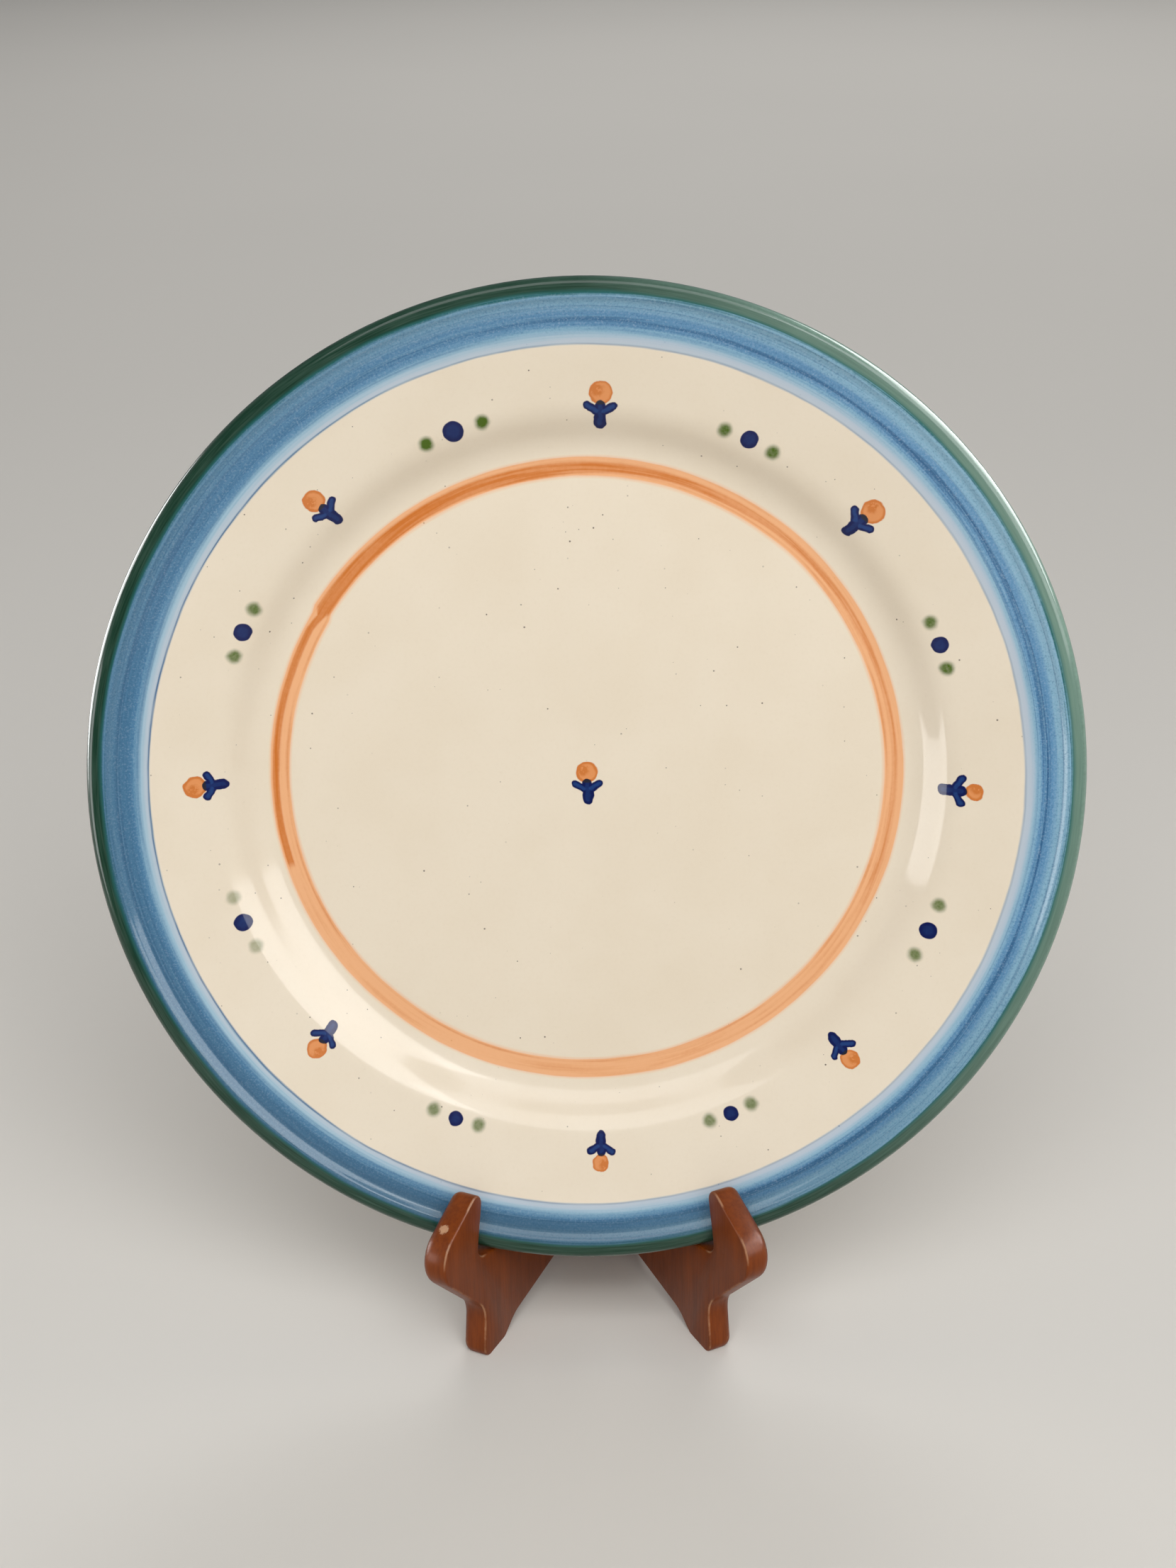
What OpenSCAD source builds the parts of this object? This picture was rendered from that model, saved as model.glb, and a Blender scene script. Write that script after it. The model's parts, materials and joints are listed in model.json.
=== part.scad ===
// A painted ceramic plate standing in a folding wooden plate stand.
// Origin: middle of the footprint, on the table. +Z up, the plate faces -Y.

/* [Plate] */
// Outer diameter of the plate
plate_d = 280; // [240:1:320]
// Height from the foot ring to the top of the lip
plate_h = 29; // [26:0.5:36]
// Thickness of the clay under the well floor
floor_t = 6; // [4:0.5:8]
// Thickness of the clay along the rim
rim_t = 6.6; // [5:0.2:8]
// Radius of the rolled lip's round edge
lip_r = 3.7; // [3:0.1:4.5]
// Diameter of the flat well floor, to the corner of its cove
well_d = 187; // [170:1:196]
// Diameter where the cove turns into the rim
rim_start_d = 207; // [200:1:216]
// Height of the cove above the well floor
cove_h = 8.5; // [7:0.5:11]
// Outer diameter of the foot ring
foot_d = 170; // [150:1:174]
// Width of the foot ring
foot_w = 7; // [5:0.5:10]
// Height of the foot ring
foot_h = 3; // [2:0.5:4]

/* [Pose] */
// Angle that the plate leans back from upright
plate_lean = 14.5; // [10:0.5:20]
// Angle between each board and the middle plane when the stand is open
splay = 28; // [22:1:34]
// Angle that the hinge line leans back from upright
hinge_lean = 6; // [3:0.5:8]

/* [Boards] */
// Thickness of each board
board_t = 8; // [7.5:0.5:11]
// Length of the boards along the hinge line
board_h = 135; // [125:1:170]
// Distance along the board from the hinge line to the plate's edge
seat_u = 61.4; // [58:0.2:74]
// Height up the board of the notch floor under the plate's edge
seat_v = 27; // [24:1:36]
// Free room between the plate's face and the hook
front_room = 5.6; // [5.4:0.2:9]
// Gap left between the plate and the wood where it rests
rest_gap = 0.3; // [0.1:0.1:0.6]

/* [Hook] */
// Height of the hook's corner above the notch floor
hook_h = 25; // [18:1:32]
// How far the hook leans back over the notch
hook_lean = 5; // [2:0.1:5.2]
// Reach of the hook's nose in front of the notch
nose_u = 24.1; // [18:0.1:32]
// Height of the hook's nose above the notch floor
nose_v = 9.6; // [4:0.2:14]
// Radius of the hook's nose
nose_r = 8.9; // [6:0.1:12]
// Radius of the hook's tip
tip_r = 3.2; // [2:0.1:4]

/* [Feet] */
// Length of the front foot
front_foot = 11.5; // [9:0.5:16]
// Length of the rear foot
rear_foot = 15; // [11:0.5:18]
// Height of the arch between the feet
arch_h = 7.2; // [5:0.2:12]
// Radius at the corners of the feet
foot_r = 4; // [2:0.5:6]

/* [Hinges] */
// Height of a hinge leaf
leaf_h = 24; // [18:1:28]
// Width of a hinge leaf
leaf_w = 7.2; // [7:0.1:7.4]
// Thickness of a hinge leaf
leaf_t = 0.9; // [0.7:0.1:1.2]
// Outer radius of a hinge knuckle
knuckle_r = 2; // [1.8:0.1:2.4]
// Radius of a hinge pin
pin_r = 1; // [0.8:0.1:1.1]
// Gap all round the pin in the knuckles
pin_fit = 0.04; // [0.02:0.01:0.08]
// Height of the lower hinge above the bottom of the hinge line
lower_hinge = 14; // [10:1:30]
// Distance from the top of the boards down to the upper hinge
upper_hinge_drop = 15; // [12:1:30]

/* [Screws] */
// Radius of a screw's shank
screw_r = 0.75; // [0.6:0.05:0.9]
// Radius of a screw's head
screw_head_r = 1.6; // [1.3:0.1:1.8]
// Length of a screw's shank
screw_len = 7; // [5:0.5:8]
// Radial gap round a screw in its hole
screw_fit = 0.05; // [0.02:0.01:0.1]

/* [Hidden] */
$fn = 96;

wood = [0.36, 0.15, 0.06];
glaze = [0.88, 0.83, 0.74];
brass = [0.72, 0.56, 0.28];

// Corner rounding: each outline point is [x, y, radius]
corner_steps = 10;
function flat(p) = [p[0], p[1]];
function unit(a) = a / norm(a);
function rounded_corner(before, at, after) =
    let (
        to_before = flat(before) - flat(at),
        to_after = flat(after) - flat(at),
        a = unit(to_before),
        b = unit(to_after),
        half = acos(a * b) / 2,
        room = 0.48 * min(norm(to_before), norm(to_after)),
        r = min(at[2], room * tan(half)),
        centre = flat(at) + unit(a + b) * r / sin(half),
        first = flat(at) + a * r / tan(half) - centre,
        last = flat(at) + b * r / tan(half) - centre,
        sweep = 180 - 2 * half
    )
    r <= 0
        ? [flat(at)]
        : [for (i = [0 : corner_steps])
              let (part = i / corner_steps)
              centre + (first * sin((1 - part) * sweep) + last * sin(part * sweep)) / sin(sweep)];
function rounded_outline(points) =
    let (n = len(points))
    [for (i = [0 : n - 1])
        each rounded_corner(points[(i + n - 1) % n], points[i], points[(i + 1) % n])];

// Where a board point lies: u runs forward along the board, v up its hinge line
tilt = plate_lean - hinge_lean;
along_n = cos(splay) * cos(tilt);
up_n = sin(tilt);
function board_y(u, v) = -u * cos(splay) * cos(hinge_lean) + v * sin(hinge_lean);
function board_z(u, v) = u * cos(splay) * sin(hinge_lean) + v * cos(hinge_lean);
function table_v(u) = -u * cos(splay) * tan(hinge_lean);

// The plate's place: its widest circle stands in the notches of both boards
plate_r = plate_d / 2;
lip_w = plate_h - lip_r;
seat_x = seat_u * sin(splay);
seat_drop = sqrt(plate_r * plate_r - seat_x * seat_x);
plate_y = board_y(seat_u, seat_v) + (seat_drop + rest_gap) * sin(plate_lean) + lip_w * cos(plate_lean);
plate_z = board_z(seat_u, seat_v) + (seat_drop + rest_gap) * cos(plate_lean) - lip_w * sin(plate_lean);

// Lines on the board that follow the plate
foot_n = -plate_y * cos(plate_lean) + plate_z * sin(plate_lean);
function plane_u(w, v) = (foot_n + w - v * up_n) / along_n;
function rest_u(v) = plane_u(-rest_gap, v);
function notch_v(u) = seat_v + (u - seat_u) * cos(splay) * tan(tilt);
wall_u = plane_u(plate_h + front_room, seat_v);

// Middle of the footprint, front to back
front_y = board_y(wall_u + nose_u - 0.74 * nose_r, seat_v + nose_v);
back_y = plate_y + foot_d / 2 * sin(plate_lean);
shift_y = -(front_y + back_y) / 2;

// Hinge places: the rear face of each board lies behind the hinge line
side_gap = 0.25;
rear_u = knuckle_r - leaf_t;
upper_hinge = board_h - upper_hinge_drop - leaf_h;
hinge_play = 0.1;
knuckle_room = 0.2;
head_r = 1.7;
head_h = 1;
screw_x = side_gap + board_t / 2;
screw_places = [0.2, 0.8];

// Outline of the plate's clay from the middle outwards and back: [radius, height, corner radius]
floor_w = foot_h + floor_t;
rim_slope = (plate_h - 1.2 - floor_w - cove_h) / (plate_r - 6 - rim_start_d / 2);
rim_angle = atan(rim_slope);
rim_drop = rim_t / cos(rim_angle);
function rim_w(r) = floor_w + cove_h + (r - rim_start_d / 2) * rim_slope;
plate_outline = [
    [0, floor_w, 0],
    [well_d / 2, floor_w, 20],
    [rim_start_d / 2, floor_w + cove_h, 20],
    [plate_r - 7, rim_w(plate_r - 7), 6],
    [plate_r - lip_r - 1.6, plate_h, 2.4],
    [plate_r, plate_h, lip_r],
    [plate_r, plate_h - 2 * lip_r, lip_r],
    [plate_r - 7, rim_w(plate_r - 7) - rim_drop, 8],
    [rim_start_d / 2 + 3, rim_w(rim_start_d / 2 + 3) - rim_drop, 24],
    [well_d / 2 + 3, foot_h, 12],
    [foot_d / 2 + 1, foot_h, 1.5],
    [foot_d / 2, 0, 1],
    [foot_d / 2 - foot_w, 0, 1],
    [foot_d / 2 - foot_w - 1, foot_h, 1.5],
    [0, foot_h, 0]
];

// Outline of a board: [u, v, corner radius], from the rear foot round to the hinge edge
sole = 0.8;
board_outline = [
    [rear_u, table_v(rear_u) - sole, 0],
    [rear_foot, table_v(rear_foot) - sole, foot_r],
    [rear_foot + 9, table_v(rear_foot + 9) + arch_h, 9],
    [wall_u - front_foot - 9, table_v(wall_u - front_foot - 9) + arch_h / 2, 12],
    [wall_u - front_foot - 1.8, table_v(wall_u - front_foot) - sole, foot_r],
    [wall_u - 1.8, table_v(wall_u) - sole, foot_r],
    [wall_u - 3.9, seat_v - 16.8, 9],
    [wall_u + nose_u, seat_v + nose_v, nose_r],
    [wall_u - hook_lean, seat_v + hook_h, tip_r],
    [wall_u, notch_v(wall_u), 4],
    [rest_u(seat_v - 4), notch_v(rest_u(seat_v - 4)), 7],
    [rest_u(board_h), board_h, 6],
    [rear_u, board_h, 4]
];

// Stands a shape drawn at the hinge line in its place: side 1 is the right, -1 the left
module open_side(side) {
    translate([0, shift_y, 0])
        rotate([-hinge_lean, 0, 0])
            mirror([side < 0 ? 1 : 0, 0, 0])
                rotate([0, 0, splay])
                    children();
}

module plate() {
    color(glaze)
        translate([0, plate_y + shift_y, plate_z])
            rotate([90 - plate_lean, 0, 0])
                rotate_extrude()
                    polygon(rounded_outline(plate_outline));
}

module board_blank() {
    translate([side_gap + board_t, 0, 0])
        rotate([90, 0, -90])
            linear_extrude(board_t)
                polygon(rounded_outline(board_outline));
}

// Space cut from a board for one leaf, its knuckles and its screws
module hinge_mortise() {
    translate([-1, -knuckle_r, -hinge_play])
        cube([leaf_w + 1 + hinge_play, knuckle_r + 1, leaf_h + 2 * hinge_play]);
    translate([0, 0, -head_h - knuckle_room])
        cylinder(r = knuckle_r + knuckle_room, h = leaf_h + 2 * (head_h + knuckle_room));
    for (place = screw_places)
        translate([screw_x, -knuckle_r + 1, leaf_h * place])
            rotate([90, 0, 0])
                cylinder(r = screw_r + screw_fit, h = screw_len + 1.2);
}

module board(side) {
    difference() {
        open_side(side)
            difference() {
                board_blank();
                translate([0, 0, lower_hinge]) hinge_mortise();
                translate([0, 0, upper_hinge]) hinge_mortise();
            }
        translate([-plate_r, -plate_r, -20])
            cube([plate_d, plate_d, 20]);
    }
}

module left_board() {
    color(wood) board(-1);
}

module right_board() {
    color(wood) board(1);
}

// One leaf: its plate, its knuckles and two countersunk holes
module leaf(spans, other_spans) {
    difference() {
        union() {
            translate([0, -knuckle_r, 0])
                cube([leaf_w, leaf_t, leaf_h]);
            for (span = spans)
                translate([0, 0, span[0]])
                    cylinder(r = knuckle_r, h = span[1] - span[0]);
        }
        for (span = other_spans)
            translate([0, 0, span[0] - hinge_play])
                cylinder(r = knuckle_r + knuckle_room, h = span[1] - span[0] + 2 * hinge_play);
        translate([0, 0, -1])
            cylinder(r = pin_r + pin_fit, h = leaf_h + 2);
        for (place = screw_places)
            translate([screw_x, -knuckle_r + leaf_t, leaf_h * place])
                screw_shape(screw_fit, leaf_t + 1);
    }
}

// A countersunk screw along -Y with its head flush at the origin
module screw_shape(room, length) {
    rotate([90, 0, 0]) {
        cylinder(r1 = screw_head_r + room, r2 = screw_r + room, h = screw_head_r - screw_r);
        cylinder(r = screw_r + room, h = length);
    }
}

outer_spans = [[0, leaf_h / 3], [leaf_h * 2 / 3, leaf_h]];
middle_span = [[leaf_h / 3 + hinge_play, leaf_h * 2 / 3 - hinge_play]];

module left_leaf(height) {
    color(brass)
        open_side(-1)
            translate([0, 0, height])
                leaf(outer_spans, middle_span);
}

module right_leaf(height) {
    color(brass)
        open_side(1)
            translate([0, 0, height])
                leaf(middle_span, outer_spans);
}

// A pin with a flat button head at each end of its knuckles
module hinge_pin(height) {
    color(brass)
        open_side(-1)
            translate([0, 0, height]) {
                translate([0, 0, -head_h])
                    cylinder(r = pin_r, h = leaf_h + 2 * head_h);
                translate([0, 0, -head_h])
                    cylinder(r = head_r, h = head_h);
                translate([0, 0, leaf_h])
                    cylinder(r = head_r, h = head_h);
            }
}

module hinge_screws(side) {
    color(brass)
        open_side(side)
            for (height = [lower_hinge, upper_hinge], place = screw_places)
                translate([screw_x, -knuckle_r + leaf_t, height + leaf_h * place])
                    screw_shape(0, screw_len);
}

module lower_hinge_left_leaf() {
    left_leaf(lower_hinge);
}

module lower_hinge_right_leaf() {
    right_leaf(lower_hinge);
}

module lower_hinge_pin() {
    hinge_pin(lower_hinge);
}

module upper_hinge_left_leaf() {
    left_leaf(upper_hinge);
}

module upper_hinge_right_leaf() {
    right_leaf(upper_hinge);
}

module upper_hinge_pin() {
    hinge_pin(upper_hinge);
}

module left_hinge_screws() {
    hinge_screws(-1);
}

module right_hinge_screws() {
    hinge_screws(1);
}

plate();
left_board();
right_board();
lower_hinge_left_leaf();
lower_hinge_right_leaf();
lower_hinge_pin();
upper_hinge_left_leaf();
upper_hinge_right_leaf();
upper_hinge_pin();
left_hinge_screws();
right_hinge_screws();
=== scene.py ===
"""A hand painted stoneware plate standing in a folding wooden plate stand."""

import json
import math

import bmesh
import bpy
from mathutils import Matrix, Vector


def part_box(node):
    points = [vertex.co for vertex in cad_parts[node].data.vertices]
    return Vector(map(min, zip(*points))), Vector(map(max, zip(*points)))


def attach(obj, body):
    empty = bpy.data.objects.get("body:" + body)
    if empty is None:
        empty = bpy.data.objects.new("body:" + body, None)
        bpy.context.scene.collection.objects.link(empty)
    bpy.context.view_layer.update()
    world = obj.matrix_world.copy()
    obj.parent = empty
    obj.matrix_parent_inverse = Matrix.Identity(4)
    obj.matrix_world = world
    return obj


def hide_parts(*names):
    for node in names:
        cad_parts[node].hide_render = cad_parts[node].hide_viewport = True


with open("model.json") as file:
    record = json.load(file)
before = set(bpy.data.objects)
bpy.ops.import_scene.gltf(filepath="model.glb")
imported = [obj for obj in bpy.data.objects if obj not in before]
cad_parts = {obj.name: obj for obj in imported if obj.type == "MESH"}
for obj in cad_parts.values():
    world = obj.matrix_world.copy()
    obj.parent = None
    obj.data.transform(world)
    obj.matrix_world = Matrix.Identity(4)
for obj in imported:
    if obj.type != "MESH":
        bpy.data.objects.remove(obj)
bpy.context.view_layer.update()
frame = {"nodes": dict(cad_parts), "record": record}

bl_info = {
    "name": "Painted plate on a folding stand",
    "version": (1, 0, 0),
    "blender": (4, 5, 0),
    "location": "View3D > Sidebar > Plate",
    "description": "Builds a painted stoneware plate, its wooden stand and a small studio",
    "category": "Add Mesh",
}

MM = 0.001
FOLD = next(j for j in frame["record"]["behaviour"]["joints"] if j["name"] == "stand_fold")
HINGE_FOOT = Vector(FOLD["pos_m"])


def paint(red, green, blue):
    """A colour mixed in eight-bit steps, as linear light."""

    def linear(step):
        share = step / 255
        return share / 12.92 if share <= 0.04045 else ((share + 0.055) / 1.055) ** 2.4

    return (linear(red), linear(green), linear(blue))


def length(name, description, default):
    return bpy.props.FloatProperty(
        name=name, description=description, default=default * MM, min=0.0, unit="LENGTH"
    )


def angle(name, description, default):
    return bpy.props.FloatProperty(
        name=name, description=description, default=math.radians(default), unit="ROTATION"
    )


def colour(name, description, *steps):
    return bpy.props.FloatVectorProperty(
        name=name, description=description, default=paint(*steps), subtype="COLOR", min=0, max=1
    )


def power(name, description, default):
    return bpy.props.FloatProperty(name=name, description=description, default=default, min=0)


class PlateSizes(bpy.types.PropertyGroup):
    """Sizes of the thrown plate."""

    reach: length("Radius", "From the middle of the plate to its edge", 140)
    height: length("Height", "From the foot ring to the top of the lip", 29)
    floor: length("Floor", "Thickness of the clay under the well", 6)
    rim: length("Rim", "Thickness of the clay along the rim", 6.6)
    lip: length("Lip", "Radius of the rolled lip", 3.7)
    well: length("Well", "Radius of the flat well", 93.5)
    rim_start: length("Rim start", "Radius where the cove turns into the rim", 103.5)
    cove: length("Cove", "Height of the cove", 8.5)
    foot: length("Foot ring", "Outer radius of the foot ring", 85)
    foot_width: length("Foot width", "Width of the foot ring", 7)
    foot_height: length("Foot height", "Height of the foot ring", 3)
    lean: angle("Lean", "How far the plate leans back", 14.5)


class StandSizes(bpy.types.PropertyGroup):
    """Sizes of the folding stand."""

    thickness: length("Thickness", "Thickness of each board", 8)
    height: length("Height", "Length of the boards along the hinge line", 135)
    seat_reach: length("Seat reach", "From the hinge line to the plate's edge", 61.4)
    seat_height: length("Seat height", "Height of the notch floor up the board", 27)
    front_room: length("Front room", "Free room between the plate and the hook", 5.6)
    rest_gap: length("Rest gap", "Gap between the plate and the wood", 0.3)
    hook: length("Hook", "Height of the hook above the notch floor", 25)
    hook_lean: length("Hook lean", "How far the hook leans back over the notch", 5)
    nose: length("Nose", "Reach of the nose in front of the notch", 24.1)
    nose_height: length("Nose height", "Height of the nose above the notch floor", 9.6)
    nose_round: length("Nose rounding", "Radius of the nose", 8.9)
    tip_round: length("Tip rounding", "Radius of the hook's tip", 3.2)
    front_foot: length("Front foot", "Length of the front foot", 11.5)
    rear_foot: length("Rear foot", "Length of the rear foot", 15)
    arch: length("Arch", "Height of the arch between the feet", 7.2)
    edge_round: length("Outer rounding", "Radius worked onto the outer edges", 2.7)
    edge_break: length("Inner rounding", "Radius left on the inner edges", 0.7)
    splay: angle("Splay", "Angle between a board and the middle plane", 28)
    lean: angle("Hinge lean", "How far the hinge line leans back", 6)


class Colours(bpy.types.PropertyGroup):
    """Colours of the glazes, the lacquer and the brass."""

    cream: colour("Cream", "Ground glaze", 232, 219, 198)
    cream_warm: colour("Warm cream", "Ground glaze where it lies thick", 218, 201, 174)
    speck: colour("Speck", "Iron specks in the clay", 58, 40, 26)
    orange: colour("Orange wash", "Thin orange of the ring and blossoms", 238, 165, 104)
    orange_deep: colour("Deep orange", "Orange where the brush was full", 204, 112, 34)
    blue: colour("Blue", "Blue of the band", 80, 130, 166)
    blue_mid: colour("Medium blue", "Blue of the band on its lighter side", 100, 148, 186)
    blue_light: colour("Light blue", "Thin blue near the lip", 140, 182, 204)
    # Darker blue that the band takes towards the bottom and lower left.
    blue_deep: colour("Deep blue", "Brush streaks of the band", 48, 94, 136)
    blue_bottom: colour("Full blue", "Blue where the band was laid thick", 40, 76, 100)
    blue_pale: colour("Pale blue", "Washed inner edge of the band", 172, 190, 208)
    green: colour("Green", "Glaze on the lip", 12, 50, 34)
    # Thin green where the lip glaze breaks over the edge; it also paints the lip's highlight on the
    # upper right.
    green_break_and_highlight: colour("Thin green", "Lip glaze where it breaks over the edge", 134, 166, 150)
    teal: colour("Teal", "Where green runs into blue", 30, 96, 92)
    navy: colour("Navy", "Stems and dots", 0, 16, 78)
    navy_light: colour("Light navy", "Stems and dots where the paint is thin", 34, 74, 136)
    leaf: colour("Leaf green", "Soft green dots", 70, 98, 6)
    clay: colour("Clay", "Bare clay of the foot ring", 188, 150, 112)
    lacquer: colour("Lacquer", "Red-brown lacquer", 130, 60, 12)
    lacquer_dark: colour("Dark lacquer", "Lacquer in the grain", 102, 44, 7)
    # Bare wood also paints the highlight line along each board's inner arris.
    bare_wood_and_highlight: colour("Bare wood", "Wood where the lacquer is worn", 196, 152, 116)
    brass: colour("Brass", "Hinge brass", 178, 138, 76)
    brass_dark: colour("Tarnish", "Dull film on the brass", 92, 66, 38)


class StageSettings(bpy.types.PropertyGroup):
    """The small studio."""

    floor: colour("Floor", "Plain pale floor", 222, 218, 211)
    front: power("Front", "Power of the large light in front", 13.5)
    key: power("Key", "Power of the soft light at the right", 6)
    rear: power("Rear", "Power of the soft light behind", 45)
    ceiling: power("Ceiling", "Power of the soft light above", 13.5)
    sheen: power("Sheen", "Power of the broad reflection from the right", 33)
    edge: power("Edge", "Power of the reflection on the right lip", 85)
    window: power("Window", "Power of the reflection from a low window", 1.7)
    side: power("Side", "Power of the reflection on the left lip", 11)
    sky: power("Sky", "Brightness of the room", 0.2)
    lens: bpy.props.FloatProperty(
        name="Lens", description="Focal length", default=50.35, min=1, unit="CAMERA"
    )
    pitch: angle("Pitch", "How far the camera looks down", 26)
    roll: angle("Roll", "Small turn of the camera about its view", 1.07)
    back: length("Back", "From the hinge line's foot to the camera", 570.1)
    above: length("Above", "Height of the camera over the floor", 436.2)
    aside: length("Aside", "Camera to the right of the middle", 0.24)


GROUPS = {
    "plate_sizes": PlateSizes,
    "stand_sizes": StandSizes,
    "finish_colours": Colours,
    "stage_settings": StageSettings,
}


# ---------------------------------------------------------------- outlines


def rounded_outline(points, steps=10):
    """Rounds each corner [x, y, radius] of a closed outline."""
    outline = []
    for at, (x, y, radius) in enumerate(points):
        corner = Vector((x, y))
        before = Vector(points[at - 1][:2]) - corner
        after = Vector(points[(at + 1) % len(points)][:2]) - corner
        half = before.angle(after) / 2
        room = 0.48 * min(before.length, after.length)
        r = min(radius, room * math.tan(half))
        if r <= 0:
            outline.append(corner)
            continue
        before.normalize()
        after.normalize()
        centre = corner + (before + after).normalized() * r / math.sin(half)
        first = corner + before * r / math.tan(half) - centre
        last = corner + after * r / math.tan(half) - centre
        sweep = math.pi - 2 * half
        for step in range(steps + 1):
            part = step / steps
            turned = first * math.sin((1 - part) * sweep) + last * math.sin(part * sweep)
            outline.append(centre + turned / math.sin(sweep))
    return outline


def rim_slope(s):
    """How steeply the rim climbs from the cove to just inside the lip, as rise over run."""
    rise = s.height - 1.2 * MM - s.foot_height - s.floor - s.cove
    return rise / (s.reach - 6 * MM - s.rim_start)


def plate_outline(s):
    """The plate's clay from the middle outwards and back: [radius, height, corner radius]."""
    floor_w = s.foot_height + s.floor
    slope = rim_slope(s)
    drop = s.rim / math.cos(math.atan(slope))

    def rim_w(r):
        return floor_w + s.cove + (r - s.rim_start) * slope

    shoulder = s.reach - 7 * MM
    turn = s.rim_start + 3 * MM
    return [
        [0, floor_w, 0],
        [s.well, floor_w, 20 * MM],
        [s.rim_start, floor_w + s.cove, 20 * MM],
        [shoulder, rim_w(shoulder), 6 * MM],
        [s.reach - s.lip - 1.6 * MM, s.height, 2.4 * MM],
        [s.reach, s.height, s.lip],
        [s.reach, s.height - 2 * s.lip, s.lip],
        [shoulder, rim_w(shoulder) - drop, 8 * MM],
        [turn, rim_w(turn) - drop, 24 * MM],
        [s.well + 3 * MM, s.foot_height, 12 * MM],
        [s.foot + MM, s.foot_height, 1.5 * MM],
        [s.foot, 0, MM],
        [s.foot - s.foot_width, 0, MM],
        [s.foot - s.foot_width - MM, s.foot_height, 1.5 * MM],
        [0, s.foot_height, 0],
    ]


def plate_seat(s):
    """The middle of the plate's foot ring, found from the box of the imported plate."""
    low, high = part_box("plate")
    lip_w = s.height - s.lip
    reach = s.reach - s.lip
    y = low.y + reach * math.sin(s.lean) + lip_w * math.cos(s.lean) + s.lip
    z = (low.z + high.z) / 2 - lip_w * math.sin(s.lean)
    return Vector((0, y, z))


def board_outline(s, plate):
    """Outline of a board: [u, v, corner radius]; u runs forward and v up the hinge line."""
    seat = plate_seat(plate) - HINGE_FOOT
    tilt = plate.lean - s.lean
    along = math.cos(s.splay) * math.cos(tilt)
    foot_n = -seat.y * math.cos(plate.lean) + seat.z * math.sin(plate.lean)
    rear = 1.1 * MM
    sole = 0.8 * MM

    def plane_u(w, v):
        return (foot_n + w - v * math.sin(tilt)) / along

    def rest_u(v):
        return plane_u(-s.rest_gap, v)

    def notch_v(u):
        return s.seat_height + (u - s.seat_reach) * math.cos(s.splay) * math.tan(tilt)

    def table_v(u):
        return -u * math.cos(s.splay) * math.tan(s.lean)

    wall = plane_u(plate.height + s.front_room, s.seat_height)
    arch_back = s.rear_foot + 9 * MM
    arch_front = wall - s.front_foot - 9 * MM
    seat_back = rest_u(s.seat_height - 4 * MM)
    return [
        [rear, table_v(rear) - sole, 0],
        [s.rear_foot, table_v(s.rear_foot) - sole, 4 * MM],
        [arch_back, table_v(arch_back) + s.arch, 9 * MM],
        [arch_front, table_v(arch_front) + s.arch / 2, 12 * MM],
        [wall - s.front_foot - 1.8 * MM, table_v(wall - s.front_foot) - sole, 4 * MM],
        [wall - 1.8 * MM, table_v(wall) - sole, 4 * MM],
        [wall - 3.9 * MM, s.seat_height - 16.8 * MM, 9 * MM],
        [wall + s.nose, s.seat_height + s.nose_height, s.nose_round],
        [wall - s.hook_lean, s.seat_height + s.hook, s.tip_round],
        [wall, notch_v(wall), 4 * MM],
        [seat_back, notch_v(seat_back), 7 * MM],
        [rest_u(s.height), s.height, 6 * MM],
        [rear, s.height, 4 * MM],
    ]


def open_side(s, side):
    """The place of a board-frame shape in the open stand: side 1 is the right, -1 the left."""
    mirror = Matrix.Diagonal((side, 1, 1, 1))
    return (
        Matrix.Translation(HINGE_FOOT)
        @ Matrix.Rotation(-s.lean, 4, "X")
        @ mirror
        @ Matrix.Rotation(s.splay, 4, "Z")
    )


# ---------------------------------------------------------------- modelling


def deselect():
    if bpy.context.mode != "OBJECT":
        bpy.ops.object.mode_set(mode="OBJECT")
    bpy.ops.object.select_all(action="DESELECT")


def take(piece):
    """Makes a piece the only selected and active one."""
    deselect()
    piece.select_set(True)
    bpy.context.view_layer.objects.active = piece
    return piece


def start(name, add, **where):
    """Adds a primitive and names it."""
    deselect()
    add(**where)
    piece = bpy.context.active_object
    piece.name = name
    piece.data.name = name
    return piece


def edit(piece):
    take(piece)
    bpy.ops.object.mode_set(mode="EDIT")


def done():
    bpy.ops.object.mode_set(mode="OBJECT")


def pick_edges(piece, wanted):
    """Selects the edges for which wanted(edge) is true, in edit mode."""
    bpy.ops.mesh.select_mode(type="EDGE")
    bpy.ops.mesh.select_all(action="DESELECT")
    mesh = bmesh.from_edit_mesh(piece.data)
    for edge in mesh.edges:
        if wanted(edge):
            edge.select_set(True)
    mesh.select_flush_mode()
    bmesh.update_edit_mesh(piece.data)


def trace(name, points):
    """Draws a chain of edges through points, by extruding one vertex again and again."""
    piece = start(name, bpy.ops.mesh.primitive_plane_add, size=MM)
    edit(piece)
    bpy.ops.mesh.select_mode(type="VERT")
    bpy.ops.mesh.merge(type="CENTER")
    bpy.ops.transform.translate(value=points[0])
    for before, after in zip(points, points[1:]):
        bpy.ops.mesh.extrude_region_move(TRANSFORM_OT_translate={"value": after - before})
    done()
    return piece


def put(piece, matrix):
    """Moves a finished shape to its place and writes the place into its mesh."""
    take(piece)
    piece.matrix_world = matrix
    bpy.ops.object.transform_apply(location=True, rotation=True, scale=True)
    edit(piece)
    bpy.ops.mesh.select_all(action="SELECT")
    bpy.ops.mesh.remove_doubles(threshold=0.002 * MM)
    bpy.ops.mesh.normals_make_consistent(inside=False)
    done()


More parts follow.
